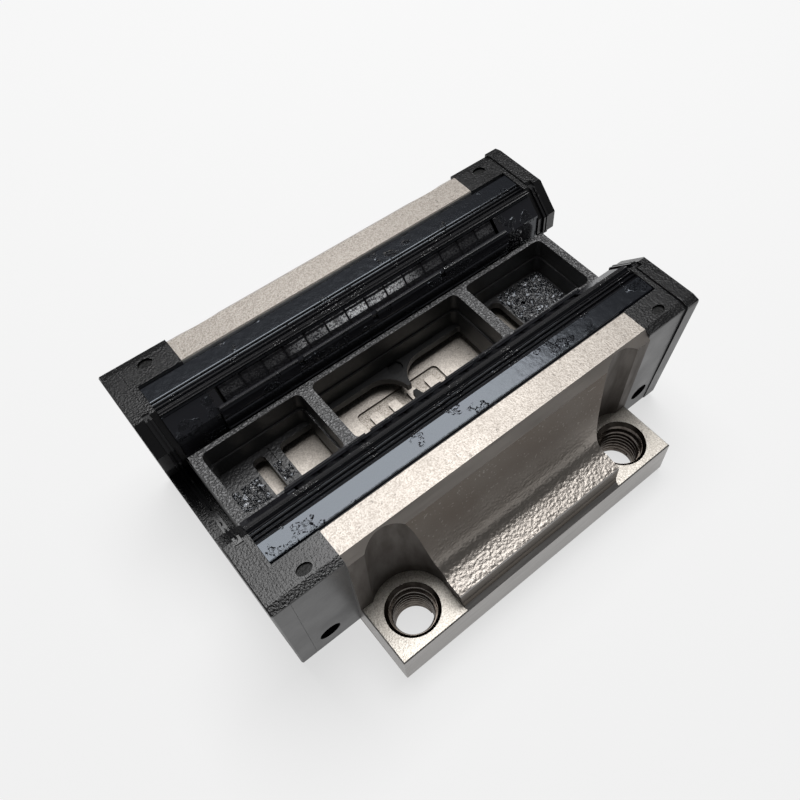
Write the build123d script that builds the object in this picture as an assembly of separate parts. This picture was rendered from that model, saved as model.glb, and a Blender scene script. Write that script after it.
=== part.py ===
"""Flanged roller guide carriage, size 45, lying on its mounting face with the rail channel upward.

Frame: origin at the centre of the mounting face, +X along the travel, +Y towards the rear leg,
+Z from the mounting face towards the leg faces. Millimetres. Every part is drawn for the rear
leg (y > 0) or the right end (x > 0) and mirrored for the other one.
"""
from build123d import *
from math import sqrt, hypot
import os

# ---- overall sizes -------------------------------------------------------------------------
FLANGE_WIDTH = 120.0
BODY_WIDTH = 86.0
BODY_HEIGHT = 51.0
BODY_LENGTH = 101.5
CAP_LENGTH = 14.8
SEAL_LENGTH = 4.95
BODY_END = BODY_LENGTH / 2
CAP_END = BODY_END + CAP_LENGTH
SEAL_END = CAP_END + SEAL_LENGTH
GAP = 0.1                      # assembly gap between fitted plastic parts

# ---- mounting holes, M12 -------------------------------------------------------------------
HOLE_SPACING_X = 80.0
HOLE_SPACING_Y = 100.0
HOLE_RADIUS = 6.0              # nominal thread radius
HOLE_RELIEF_RADIUS = 6.6
HOLE_RELIEF_DEPTH = 2.2
HOLE_MOUTH_RADIUS = 7.75
HOLE_MOUTH_DEPTH = 1.0
SPOT_FACE_Z = 14.7             # flange thickness at the holes
SPOT_LOW_RADIUS = 11.0         # drafted room round a bolt head, at the spot face
SPOT_HIGH_RADIUS = 9.0         # and at the top of the leg side
FLANGE_RIB_Z = 21.6            # flange thickness between the holes
RIB_HALF_LENGTH = 29.0
RIB_EDGE_Y = 57.4
LEG_CHAMFER_Z = 48.7
LEG_FACE_EDGE_Y = 40.5
LEG_DRAFT = 0.047              # inward lean of the leg sides beside the spot faces
EDGE_BREAK = 0.35              # small bevel on the machined edges

# ---- rail channel --------------------------------------------------------------------------
SADDLE_Z = 21.0
RAIL_TOP_Z = 22.85
RAIL_HALF_WIDTH = 22.5
RAIL_WAIST_HALF = 14.0
NOTCH_Z = 40.5                 # height of the centre of the notch in the rail's side
INNER_WALL_Y = 26.5
STRIP_SEAT_Y = 32.3            # the sealing strip lies between this wall and its lips
STRIP_SEAT_Z = 46.9
STRIP_LIP_Y = 25.4
STRIP_END = CAP_END - 1.75

# ---- rollers -------------------------------------------------------------------------------
ROLLER_RADIUS = 3.3
ROLLER_LENGTH = 6.4
ROLLER_CHAMFER = 0.35
ROLLER_PITCH = 6.85
ROLLERS_PER_ROW = 14
RACEWAY_CLEARANCE = 0.03
ROW_Y = 20.0
ROW_RISE = 4.75                # height of a row above or below the notch centre
FACE_ROW = (ROW_Y, NOTCH_Z + ROW_RISE)
SADDLE_ROW = (ROW_Y, NOTCH_Z - ROW_RISE)
FACE_RETURN = (34.6, 29.3)     # return channel of the row next to the leg face
SADDLE_RETURN = (34.8, 41.6)   # return channel of the row next to the saddle
TUBE_RADIUS = 5.05
TURN_STEP = 6.7                # spacing of the rollers in a turn
TURN_OFFSET = 1.32             # how far the turns lift the rollers off the rail's raceway
FACE_TURN_DEPTH = 10.95        # how far roller centres reach past the body's end
SADDLE_TURN_DEPTH = 4.0
CHANNEL_CLEARANCE = 0.12

# ---- fasteners and ports -------------------------------------------------------------------
SCREW_PLACES = ((29.0, 6.0), (35.5, 20.0))
SCREW_RADIUS = 2.0
SCREW_HEAD_RADIUS = 3.5
SCREW_HEAD_LENGTH = 4.0
SCREW_GRIP_DEPTH = 11.0
HEX_RADIUS = 1.7
PORT_X = BODY_END + 9.3
PORT_Z = 11.5
PORT_RADIUS = 3.2
PORT_DEPTH = 6.0
END_PORT_RADIUS = 3.5
PLUG_RECESS = 1.2
CHANNEL_RADIUS = 1.5           # grease channels in the caps
INSERT_HALF_WIDTH = 21.0
INSERT_THICKNESS = 4.0
LIP_SEAT = (CAP_END + 0.05, CAP_END + 2.0)      # the seal's rubber lip sits behind its plate

# ---- transport arbor -----------------------------------------------------------------------
ARBOR_HALF_LENGTH = 64.0
ARBOR_HALF_WIDTH = 13.35
ARBOR_TOP_Z = 39.5
ARBOR_STEP_Z = 33.0
ARBOR_FLOOR_Z = 27.0
ARBOR_BOTTOM_Z = 24.5
ARBOR_FOOT_HALF = 21.6
POCKET_HALF_WIDTH = 11.5
POCKET_CORNER = 2.0
MIDDLE_POCKET_HALF = 26.3
END_POCKET = (30.0, 61.2)
WINDOW_HALF_WIDTH = 9.0

X_AXIS = (1, 0, 0)
Y_AXIS = (0, 1, 0)


# ---- helpers -------------------------------------------------------------------------------
def prism(points, x_from, x_to):
    """A closed outline of (y, z) points, extruded along X."""
    face = make_face(Polyline(*[(x_from, y, z) for y, z in points], close=True))
    return extrude(face, amount=x_to - x_from, dir=X_AXIS)


def whole(half):
    """An outline from bottom centre to top centre (y >= 0), made symmetric."""
    return half + [(-y, z) for y, z in reversed(half) if y > 0]


def block(x, y, z):
    """A box given by its (from, to) along each axis."""
    box = Box(x[1] - x[0], y[1] - y[0], z[1] - z[0])
    return Pos(sum(x) / 2, sum(y) / 2, sum(z) / 2) * box


def upright(radius, x, y, z_from, z_to):
    return Pos(x, y, (z_from + z_to) / 2) * Cylinder(radius, z_to - z_from)


def lengthwise(radius, y, z, x_from, x_to):
    return Plane(((x_from + x_to) / 2, y, z), z_dir=X_AXIS) * Cylinder(radius, x_to - x_from)


def crosswise(radius, x, z, y_from, y_to):
    return Plane((x, (y_from + y_to) / 2, z), z_dir=Y_AXIS) * Cylinder(radius, y_to - y_from)


def to_front(shape):
    """The same part on the front leg."""
    return mirror(shape, about=Plane.XZ)


def to_left(shape):
    """The same part at the left end."""
    return mirror(shape, about=Plane.YZ)


def on_both_legs(shape):
    return shape + to_front(shape)


def main_solid(shape):
    """The largest solid, without loose slivers."""
    return max(shape.solids(), key=lambda solid: solid.volume)


def at_face_row(along, across):
    """(y, z) of a point given along the rollers' axis and across it, towards the rail."""
    y, z = FACE_ROW
    return (y + (along - across) / sqrt(2), z + (along + across) / sqrt(2))


def at_saddle_row(along, across):
    y, z = at_face_row(along, across)
    return (y, 2 * NOTCH_Z - z)


def leg_side(z):
    """Half width of the drafted leg side at height z."""
    return BODY_WIDTH / 2 - (LEG_CHAMFER_Z - z) * LEG_DRAFT


def rail_half(offset, top_z):
    """Half of the rail's outline, moved outwards by offset and cut off at top_z."""
    bevel = offset * (sqrt(2) - 1)
    flank_rise = RAIL_HALF_WIDTH - RAIL_WAIST_HALF
    waist_low = at_saddle_row(0, ROLLER_RADIUS)
    corner_z = waist_low[0] + waist_low[1] - RAIL_HALF_WIDTH + bevel
    root_z = corner_z + flank_rise
    upper_root_z = 2 * NOTCH_Z - root_z
    side, waist = RAIL_HALF_WIDTH + offset, RAIL_WAIST_HALF + offset
    return [
        (0, RAIL_TOP_Z - offset), (side, RAIL_TOP_Z - offset), (side, corner_z),
        (waist, root_z), (waist, upper_root_z), (waist + top_z - upper_root_z, top_z), (0, top_z),
    ]


# ---- steel body ----------------------------------------------------------------------------
def section_line(points, curve=Polyline):
    """A line through (y, z) points in the section at the body's left end."""
    return curve(*[(-BODY_END, y, z) for y, z in points])


def body_section():
    """The body's section through the flange ribs, with the forged sweep up each leg."""
    edge = FLANGE_WIDTH / 2
    raceway = -ROLLER_RADIUS - RACEWAY_CLEARANCE
    outer_end = ROLLER_LENGTH / 2 + 0.1
    nose_y = ROW_Y + 0.12
    nose_rise = at_face_row(0, raceway)[1] - at_face_row(0, raceway)[0] + nose_y - NOTCH_Z
    rib_edge, leg_edge = (RIB_EDGE_Y, FLANGE_RIB_Z), (BODY_WIDTH / 2, LEG_CHAMFER_Z)
    flange = section_line([
        (0, 0), (edge - 1, 0), (edge, 1), (edge, SPOT_FACE_Z - EDGE_BREAK),
        (edge - EDGE_BREAK, SPOT_FACE_Z), (edge - 1.5, SPOT_FACE_Z + 0.5),
        (RIB_EDGE_Y + 0.6, SPOT_FACE_Z + 2.0), (RIB_EDGE_Y + 0.3, FLANGE_RIB_Z - 0.5), rib_edge])
    sweep = section_line([
        rib_edge, (54.0, 22.2), (51.0, 22.9), (48.5, 24.6), (46.6, 29.0), (45.3, 36.0),
        (44.1, 43.5), leg_edge], Spline)
    inside = section_line([
        leg_edge, (LEG_FACE_EDGE_Y, BODY_HEIGHT), (STRIP_SEAT_Y + EDGE_BREAK, BODY_HEIGHT),
        (STRIP_SEAT_Y, BODY_HEIGHT - EDGE_BREAK), (STRIP_SEAT_Y, STRIP_SEAT_Z),
        (24.5, STRIP_SEAT_Z), at_face_row(outer_end, raceway), (nose_y, NOTCH_Z + nose_rise),
        (nose_y, NOTCH_Z - nose_rise), at_saddle_row(outer_end, raceway),
        (INNER_WALL_Y, 34.1), (INNER_WALL_Y, SADDLE_Z), (0, SADDLE_Z)])
    half = flange + sweep + inside
    return make_face(half + to_front(half))


def spot_face():
    """What is cut away above one spot face: the bolt head's room and the open corner."""
    x, y = HOLE_SPACING_X / 2, HOLE_SPACING_Y / 2
    top_z, beyond = BODY_HEIGHT + 1, FLANGE_WIDTH
    height = top_z - SPOT_FACE_Z
    end = BODY_END + 1
    room = Pos(x, y, SPOT_FACE_Z + height / 2) * Cone(SPOT_LOW_RADIUS, SPOT_HIGH_RADIUS, height)
    outward_face = make_face(Polyline(
        (RIB_HALF_LENGTH, y, SPOT_FACE_Z), (RIB_HALF_LENGTH + 0.7, y, FLANGE_RIB_Z),
        (RIB_HALF_LENGTH + 0.7, y, top_z), (end, y, top_z), (end, y, SPOT_FACE_Z), close=True))
    outward = extrude(outward_face, amount=beyond, dir=Y_AXIS)
    low_y, high_y = leg_side(SPOT_FACE_Z), leg_side(LEG_CHAMFER_Z) + 0.02
    endward = prism([(low_y, SPOT_FACE_Z), (high_y, LEG_CHAMFER_Z), (high_y, top_z),
                     (beyond, top_z), (beyond, SPOT_FACE_Z)], x, end)
    return room + outward + endward


def flange_corner():
    """What is bevelled off one corner of the flange and off the spot face's end edge."""
    x, y = BODY_END, FLANGE_WIDTH / 2
    upright_bevel = extrude(make_face(Polyline(
        (x - 0.8, y + 1, -1), (x + 1, y - 0.8, -1), (x + 1, y + 1, -1), close=True)),
        amount=FLANGE_RIB_Z + 2)
    end_bevel = extrude(make_face(Polyline(
        (x - EDGE_BREAK, y, SPOT_FACE_Z), (x, y, SPOT_FACE_Z - EDGE_BREAK), (x + 1, y, SPOT_FACE_Z),
        close=True)), amount=FLANGE_WIDTH / 2 - 41.5, dir=(0, -1, 0))
    return upright_bevel + end_bevel


def mounting_hole():
    x, y = HOLE_SPACING_X / 2, HOLE_SPACING_Y / 2
    mouth_z = SPOT_FACE_Z - HOLE_MOUTH_DEPTH
    mouth = Pos(x, y, mouth_z + HOLE_MOUTH_DEPTH / 2) * Cone(
        HOLE_RELIEF_RADIUS + 0.1, HOLE_MOUTH_RADIUS, HOLE_MOUTH_DEPTH)
    relief = upright(HOLE_RELIEF_RADIUS, x, y, mouth_z - HOLE_RELIEF_DEPTH, mouth_z)
    return upright(HOLE_RADIUS, x, y, -1, SPOT_FACE_Z) + relief + mouth


def at_four_corners(shape):
    pair = on_both_legs(shape)
    return pair + to_left(pair)


def cartouche():
    """Shallow cast recess in the saddle, with four plain raised bars left standing."""
    x, half_y, depth = -2.2, 6.0, 0.9
    recess = Pos(x, 0, SADDLE_Z - depth / 2) * extrude(
        RectangleRounded(30.5, 2 * half_y, 1.6), amount=depth / 2, both=True)
    for place in (-10.5, -3.5, 3.5, 10.5):
        bar = extrude(RectangleRounded(3.2, 7.0, 0.8), amount=depth / 2, both=True)
        recess -= Pos(x + place, 0, SADDLE_Z - depth / 2) * bar
    return recess


def carriage_body():
    body = extrude(body_section(), amount=BODY_LENGTH, dir=X_AXIS)
    body -= at_four_corners(spot_face())
    body -= at_four_corners(flange_corner())
    body -= at_four_corners(mounting_hole())
    body -= cartouche()
    bores = Part()
    for y, z in (FACE_RETURN, SADDLE_RETURN):
        bores += lengthwise(TUBE_RADIUS + 0.03, y, z, -BODY_END - 1, BODY_END + 1)
    body -= on_both_legs(bores)
    for y, z in SCREW_PLACES:
        hole = lengthwise(SCREW_RADIUS + 0.02, y, z, BODY_END - SCREW_GRIP_DEPTH - 1, BODY_END + 1)
        body -= at_four_corners(hole)
    return main_solid(body)


# ---- rollers and their circuits --------------------------------------------------------------
def roller(x, place, axis):
    """One roller at x and (y, z), its own axis in the cross section."""
    shape = Cylinder(ROLLER_RADIUS, ROLLER_LENGTH)
    shape = chamfer(shape.edges().filter_by(GeomType.CIRCLE), ROLLER_CHAMFER)
    return Plane((x, *place), x_dir=X_AXIS, z_dir=(0, *axis)) * shape


def roller_row(place, axis):
    """A straight train of rollers, centred on the body."""
    start = -ROLLER_PITCH * (ROLLERS_PER_ROW - 1) / 2
    return [roller(start + i * ROLLER_PITCH, place, axis) for i in range(ROLLERS_PER_ROW)]


class Circuit:
    """One recirculating loop of the rear leg: its load row, return channel and turn."""

    def __init__(self, load, back, load_axis, turn_depth, straight):
        self.load, self.back, self.load_axis = load, back, load_axis
        self.turn_depth, self.straight = turn_depth, straight
        dy, dz = back[0] - load[0], back[1] - load[1]
        self.span = hypot(dy, dz)
        self.across = (dy / self.span, dz / self.span)
        self.axis = (-self.across[1], self.across[0])

    def place(self, u):
        """(y, z) at distance u from the load row towards the return channel."""
        return (self.load[0] + u * self.across[0], self.load[1] + u * self.across[1])

    def turn_places(self):
        """(u, x) of the rollers in the right-hand turn, as a chain with even spacing."""
        middle, deep = self.span / 2, BODY_END + self.turn_depth
        level = [(middle, deep)]
        if self.straight:
            level = [(u, deep) for u in (middle - TURN_STEP, middle, middle + TURN_STEP)]
        drop = sqrt(TURN_STEP ** 2 - (level[0][0] - TURN_OFFSET) ** 2)
        first, last = (TURN_OFFSET, deep - drop), (self.span - TURN_OFFSET, deep - drop)
        return [first, *level, last]

    def turn_rollers(self):
        return [roller(x, self.place(u), self.axis) for u, x in self.turn_places()]

    def channel(self, x_from, x_to, u_from, u_to):
        """Room for the rollers between two x and two u, along their own axis."""
        length = ROLLER_LENGTH + 2 * CHANNEL_CLEARANCE
        plane = Plane(((x_from + x_to) / 2, *self.place((u_from + u_to) / 2)),
                      x_dir=X_AXIS, z_dir=(0, *self.axis))
        return plane * Box(x_to - x_from, u_to - u_from, length)

    def turn_channel(self):
        """The right-hand turn's room, and for the outer loop its two straight legs."""
        reach = ROLLER_RADIUS + CHANNEL_CLEARANCE
        start = BODY_END - 0.1
        outer = BODY_END + self.turn_depth + reach
        near, far = TURN_OFFSET, self.span - TURN_OFFSET
        inner = outer - 2 * reach if self.straight else start
        room = self.channel(inner, outer, near - reach, far + reach)
        if self.straight:
            for u in (near, far):
                room += self.channel(start, outer, u - reach, u + reach)
        return room


DIAGONAL = 1 / sqrt(2)
FACE_CIRCUIT = Circuit(FACE_ROW, FACE_RETURN, (DIAGONAL, DIAGONAL), FACE_TURN_DEPTH, True)
SADDLE_CIRCUIT = Circuit(SADDLE_ROW, SADDLE_RETURN, (-DIAGONAL, DIAGONAL), SADDLE_TURN_DEPTH, False)
CIRCUITS = {"face": FACE_CIRCUIT, "saddle": SADDLE_CIRCUIT}


def return_tube(circuit):
    """Plastic tube with a square bore that guides the unloaded rollers back."""
    y, z = circuit.back
    tube = lengthwise(TUBE_RADIUS, y, z, -BODY_END, BODY_END)
    reach = ROLLER_RADIUS + CHANNEL_CLEARANCE
    return tube - circuit.channel(-BODY_END - 1, BODY_END + 1, circuit.span - reach, circuit.span + reach)


# ---- roller retainers ------------------------------------------------------------------------
def nose_retainer():
    """Bar over the steel nose, holding the inner ends of both rows, in four lengths."""
    inner_end = -ROLLER_LENGTH / 2 - 0.12
    lip = ROLLER_RADIUS + 0.12
    waist = RAIL_WAIST_HALF
    upper = [
        (ROW_Y - 0.35, NOTCH_Z), at_face_row(inner_end, -2.9), at_face_row(inner_end, lip),
        at_face_row(inner_end + 1.8, lip), at_face_row(inner_end + 1.7, lip + 0.4),
        at_face_row(inner_end + 1.0, lip + 0.55), at_face_row(inner_end + 0.12, lip + 0.45),
        (waist + 0.85, NOTCH_Z + 4.5), (waist + 0.7, NOTCH_Z + 3.9), (waist + 0.45, NOTCH_Z + 3.2),
        (waist + 0.45, NOTCH_Z + 2.3), (waist + 0.1, NOTCH_Z + 2.1), (waist + 0.1, NOTCH_Z + 1.7),
        (waist + 0.45, NOTCH_Z + 1.5),
    ]
    lower = [(y, 2 * NOTCH_Z - z) for y, z in reversed(upper[1:])]
    bar = prism(upper + lower, -BODY_END + GAP, BODY_END - GAP)
    for x in (-25.0, 0.0, 25.0):
        for z in (NOTCH_Z - 4.6, NOTCH_Z + 4.6):
            side = 1.6 if z > NOTCH_Z else -1.6
            span_z = sorted((z - side * 0.6, z + side * 2.0))
            bar -= block((x - 0.9, x + 0.9), (waist - 1, waist + 1.4), span_z)
    return main_solid(bar)


def face_retainer():
    """Bar between the outer ends of the face row and the sealing strip."""
    outer_end = ROLLER_LENGTH / 2 + 0.12
    points = [
        at_face_row(outer_end, -2.8), at_face_row(outer_end, 3.2), (20.6, 50.2), (21.5, 49.3),
        (STRIP_LIP_Y, 49.1), (STRIP_LIP_Y, 48.1), (31.4, 48.1), (31.4, STRIP_SEAT_Z + GAP),
        (24.6, STRIP_SEAT_Z + GAP),
    ]
    return prism(points, -STRIP_END, STRIP_END)


def saddle_retainer():
    """Bar in the corner of the steel, holding the outer ends of the saddle row."""
    outer_end = ROLLER_LENGTH / 2 + 0.12
    wall = INNER_WALL_Y - GAP
    points = [
        at_saddle_row(outer_end, 2.9), at_saddle_row(outer_end, -2.9), (wall, 33.9),
        (wall, 24.4), (23.1, 24.4), (23.1, 28.9),
    ]
    return prism(points, -BODY_END + GAP, BODY_END - GAP)


def return_guide():
    """Right-hand guide that lifts the rollers out of the load zone, with a ramp face."""
    ramp = ROLLER_RADIUS - 0.15
    outer_end = ROLLER_LENGTH / 2 - 0.05
    wall = INNER_WALL_Y - 2 * GAP
    points = [
        at_face_row(outer_end, ramp), at_face_row(-outer_end - 0.2, ramp),
        at_saddle_row(-outer_end - 0.2, ramp), at_saddle_row(outer_end, ramp),
        (wall, 32.45), (wall, 46.7), at_face_row(outer_end, -ramp),
    ]
    guide = prism(points, BODY_END + GAP, STRIP_END)
    for circuit in CIRCUITS.values():
        guide -= circuit.turn_channel()
    return main_solid(guide)


# ---- sealing strips --------------------------------------------------------------------------
def seal_strip():
    """Flat carrier of the longitudinal seal, clipped into the leg face."""
    top = BODY_HEIGHT - 0.3
    points = [
        (STRIP_LIP_Y + 0.05, 48.2), (STRIP_SEAT_Y - GAP, 48.2), (STRIP_SEAT_Y - GAP, 49.6),
        (STRIP_SEAT_Y - 0.65, 49.9), (STRIP_SEAT_Y - 0.65, top - 0.35),
        (STRIP_SEAT_Y - 0.9, top - 0.08), (STRIP_SEAT_Y - 1.2, top),
        (STRIP_LIP_Y + 0.6, top), (STRIP_LIP_Y + 0.25, top - 0.1), (STRIP_LIP_Y + 0.05, top - 0.4),
    ]
    return prism(points, -STRIP_END, STRIP_END)


def strip_lip():
    """Ribbed rubber lip along the inner edge of the carrier."""
    points = [
        (STRIP_LIP_Y, 50.2), (24.9, 50.1), (24.6, 50.55), (24.2, 50.55), (23.9, 50.0), (23.6, 50.1),
        (23.35, 50.65), (22.95, 50.65), (22.6, 50.1), (22.1, 50.2), (21.5, 51.0), (21.05, 51.1),
        (21.0, 50.75), (21.8, 49.7), (22.3, 49.4), (STRIP_LIP_Y, 49.3),
    ]
    return prism(points, -STRIP_END, STRIP_END)


# ---- end caps and end seals ------------------------------------------------------------------
def end_outline(grow):
    """Outer half outline of a cap or seal plate, made larger by grow."""
    top = BODY_HEIGHT + grow
    return [
        (0, 1.2), (37.3, 1.2), (38.75 + grow / 2, 2.6), (42.5 + grow, 49.9),
        (42.4 + grow, 50.35 + grow), (40.1 + grow, top),
    ]


def end_screw_holes(radius, x_from, x_to):
    holes = Part()
    for y, z in SCREW_PLACES:
        holes += lengthwise(radius, y, z, x_from, x_to)
    return on_both_legs(holes)


def cap_opening():
    """Rail channel, guide pockets and strip seats of the right-hand cap."""
    wall = INNER_WALL_Y - GAP
    top = BODY_HEIGHT + 2
    corner = at_saddle_row(ROLLER_LENGTH / 2, ROLLER_RADIUS)
    pocket = [
        (0, SADDLE_Z + 0.7), (23.3, SADDLE_Z + 0.7), (23.3, 29.0), corner, (wall, corner[1]),
        (wall, STRIP_SEAT_Z), (STRIP_SEAT_Y, STRIP_SEAT_Z), (STRIP_SEAT_Y, top), (0, top),
    ]
    return (prism(whole(pocket), BODY_END - 1, STRIP_END + GAP)
            + prism(whole(rail_half(0.9, top)), BODY_END - 1, CAP_END + 1))


def end_cap():
    cap = prism(whole([*end_outline(0), (0, BODY_HEIGHT)]), BODY_END, CAP_END)
    cap -= cap_opening()
    for circuit in CIRCUITS.values():
        cap -= on_both_legs(circuit.turn_channel())
    cap -= end_screw_holes(SCREW_RADIUS + 0.15, BODY_END - 1, CAP_END + 1)
    cap -= on_both_legs(crosswise(PORT_RADIUS, PORT_X, PORT_Z, 40.5 - PORT_DEPTH, 44))
    cap -= crosswise(CHANNEL_RADIUS, PORT_X, PORT_Z, -34, 34)
    cap -= lengthwise(END_PORT_RADIUS, 0, PORT_Z, PORT_X, CAP_END + 1)
    cap -= insert_block(0)
    cap -= lengthwise(CHANNEL_RADIUS, 0, PORT_Z, BODY_END - 1, PORT_X)
    mark = Pos(BODY_END + 8.0, 38.0, BODY_HEIGHT - 0.7) * extrude(Ellipse(2.1, 1.5), amount=1)
    cap -= on_both_legs(mark)
    return main_solid(cap)


def insert_block(inset):
    """The lubrication insert's outer shape, made smaller all round by inset."""
    half_y = INSERT_HALF_WIDTH - inset
    return block((BODY_END + inset, BODY_END + INSERT_THICKNESS - inset), (-half_y, half_y),
                 (PORT_Z - 4 + inset, PORT_Z + 4 - inset))


def lube_insert():
    """Insert behind the cap that leads the lubricant to both legs."""
    groove = block((BODY_END, BODY_END + 1.2), (-18, 18), (PORT_Z - 1, PORT_Z + 1))
    feed = lengthwise(CHANNEL_RADIUS, 0, PORT_Z, BODY_END - 1, BODY_END + INSERT_THICKNESS + 1)
    return main_solid(insert_block(GAP) - groove - feed)


def seal_plate(grow):
    """Right-hand carrier plate of the end seal."""
    top = BODY_HEIGHT + grow
    start = CAP_END + 0.05
    plate = prism(whole([*end_outline(grow), (0, top)]), start, SEAL_END)
    plate = chamfer(plate.faces().sort_by(Axis.X)[-1].edges(), EDGE_BREAK)
    plate -= prism(whole(rail_half(0.45, top + 2)), CAP_END - 1, SEAL_END + 1)
    plate -= prism(whole(rail_half(1.6, top + 2)), *LIP_SEAT)
    plate -= end_screw_holes(SCREW_RADIUS + 0.15, CAP_END - 1, SEAL_END + 1)
    recess_start = SEAL_END - SCREW_HEAD_LENGTH - 0.2
    plate -= end_screw_holes(SCREW_HEAD_RADIUS + 0.25, recess_start, SEAL_END + 1)
    plate -= lengthwise(END_PORT_RADIUS, 0, PORT_Z, CAP_END - 1, SEAL_END + 1)
    return main_solid(plate)


def seal_lip():
    """Rubber lip that wipes the rail's whole outline at the right-hand end."""
    top = BODY_HEIGHT - 0.3
    start, end = LIP_SEAT
    outer = prism(whole(rail_half(1.5, top)), start + 0.05, end - 0.05)
    lip = outer - prism(whole(rail_half(0.1, top + 1)), CAP_END, SEAL_END)
    notch_start = (start + end) / 2 - 0.3
    return main_solid(lip - prism(whole(rail_half(0.6, top + 1)), notch_start, notch_start + 0.6))


# ---- screws and plugs ------------------------------------------------------------------------
def socket_screw(y, z):
    head_start = SEAL_END - SCREW_HEAD_LENGTH - 0.15
    shank = lengthwise(SCREW_RADIUS, y, z, BODY_END - SCREW_GRIP_DEPTH, head_start)
    head = lengthwise(SCREW_HEAD_RADIUS, y, z, head_start, SEAL_END - 0.15)
    hexagon = Plane((SEAL_END - 2.2, y, z), z_dir=X_AXIS) * RegularPolygon(HEX_RADIUS, 6)
    return shank + head - extrude(hexagon, amount=4, dir=X_AXIS)


def end_screws():
    """The four long screws that hold the right-hand cap and seal."""
    screws = [socket_screw(y, z) for y, z in SCREW_PLACES]
    return screws + [to_front(screw) for screw in screws]


def end_plug():
    """Grub screw that closes the lubrication port in the right-hand end face."""
    outer_x = SEAL_END - PLUG_RECESS
    plug = lengthwise(END_PORT_RADIUS - 0.02, 0, PORT_Z, outer_x - 6, outer_x)
    hexagon = Plane((outer_x - 2.5, 0, PORT_Z), z_dir=X_AXIS) * RegularPolygon(HEX_RADIUS, 6)
    return plug - extrude(hexagon, amount=4, dir=X_AXIS)


# ---- transport arbor -------------------------------------------------------------------------
def pocket(x_from, x_to):
    """One open pocket: a wide upper part and a narrower lower part, down to the floor."""
    middle, length, width = (x_from + x_to) / 2, x_to - x_from, 2 * POCKET_HALF_WIDTH
    upper = RectangleRounded(length, width, POCKET_CORNER)
    lower = RectangleRounded(length - 1.2, width - 1.2, POCKET_CORNER)
    cut = Pos(middle, 0, ARBOR_STEP_Z) * extrude(upper, amount=ARBOR_TOP_Z - ARBOR_STEP_Z + 1)
    return cut + Pos(middle, 0, ARBOR_FLOOR_Z) * extrude(lower, amount=ARBOR_STEP_Z - ARBOR_FLOOR_Z)


def floor_window(x_from, x_to, half_width, corner):
    shape = RectangleRounded(x_to - x_from, 2 * half_width, corner)
    depth = ARBOR_FLOOR_Z - ARBOR_BOTTOM_Z + 1
    return Pos((x_from + x_to) / 2, 0, ARBOR_BOTTOM_Z - 1) * extrude(shape, amount=depth)


def wall_window(wall_x, x_to, half_width, corner):
    """A floor window that starts at a pocket's wall, rounded only at the far corners."""
    return (floor_window(wall_x, x_to, half_width, corner)
            + floor_window(wall_x, wall_x + 2 * corner, half_width, 0.2))


def arbor_outline():
    side, foot = ARBOR_HALF_WIDTH, ARBOR_FOOT_HALF
    return [
        (0, ARBOR_BOTTOM_Z), (foot - 0.8, ARBOR_BOTTOM_Z), (foot, ARBOR_BOTTOM_Z + 0.8),
        (foot, 27.6), (foot - 0.8, 28.6), (side, 31.0), (side, ARBOR_TOP_Z - 0.4),
        (side - 0.4, ARBOR_TOP_Z), (0, ARBOR_TOP_Z),
    ]


def transport_arbor():
    arbor = prism(whole(arbor_outline()), -ARBOR_HALF_LENGTH, ARBOR_HALF_LENGTH)
    arbor -= pocket(-MIDDLE_POCKET_HALF, MIDDLE_POCKET_HALF)
    near, far = END_POCKET
    cuts = pocket(near, far) + wall_window(near + 0.6, 41.8, WINDOW_HALF_WIDTH, 2.2)
    cuts += floor_window(46.6, 50.6, WINDOW_HALF_WIDTH, 1.5)
    cuts += block((44.2, 44.7), (-10, 10), (ARBOR_FLOOR_Z - 0.5, ARBOR_FLOOR_Z + 1))
    outer_x = MIDDLE_POCKET_HALF - 0.6
    cuts += floor_window(0.6, outer_x, WINDOW_HALF_WIDTH, WINDOW_HALF_WIDTH - 0.3)
    cuts += floor_window(15.0, outer_x, WINDOW_HALF_WIDTH, 1.0)
    arbor -= cuts + to_left(cuts)
    arbor -= block((-2, 2), (-1.2, 1.2), (ARBOR_BOTTOM_Z - 1, ARBOR_FLOOR_Z + 1))
    for y in (-9.0, 9.0):
        arbor -= upright(2.5, 0.5, y, ARBOR_FLOOR_Z - 0.9, ARBOR_FLOOR_Z + 1)
    return main_solid(arbor)


# ---- writing ---------------------------------------------------------------------------------
def write(name, shapes):
    """One STEP file per node; a node of several pieces keeps them as separate solids."""
    solids = []
    for shape in shapes if isinstance(shapes, list) else [shapes]:
        solids += shape.solids()
    whole_part = solids[0] if len(solids) == 1 else Compound(children=solids)
    export_step(whole_part, f"parts/{name}.step")


def write_leg_pair(name, shapes):
    """A part of the rear leg and its mirror image on the front leg."""
    shapes = shapes if isinstance(shapes, list) else [shapes]
    write(f"{name}_rear", shapes)
    write(f"{name}_front", [to_front(shape) for shape in shapes])


def write_end_pair(name, shapes):
    """A part of the right-hand end and its mirror image at the left."""
    shapes = shapes if isinstance(shapes, list) else [shapes]
    write(f"{name}_right", shapes)
    write(f"{name}_left", [to_left(shape) for shape in shapes])


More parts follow.
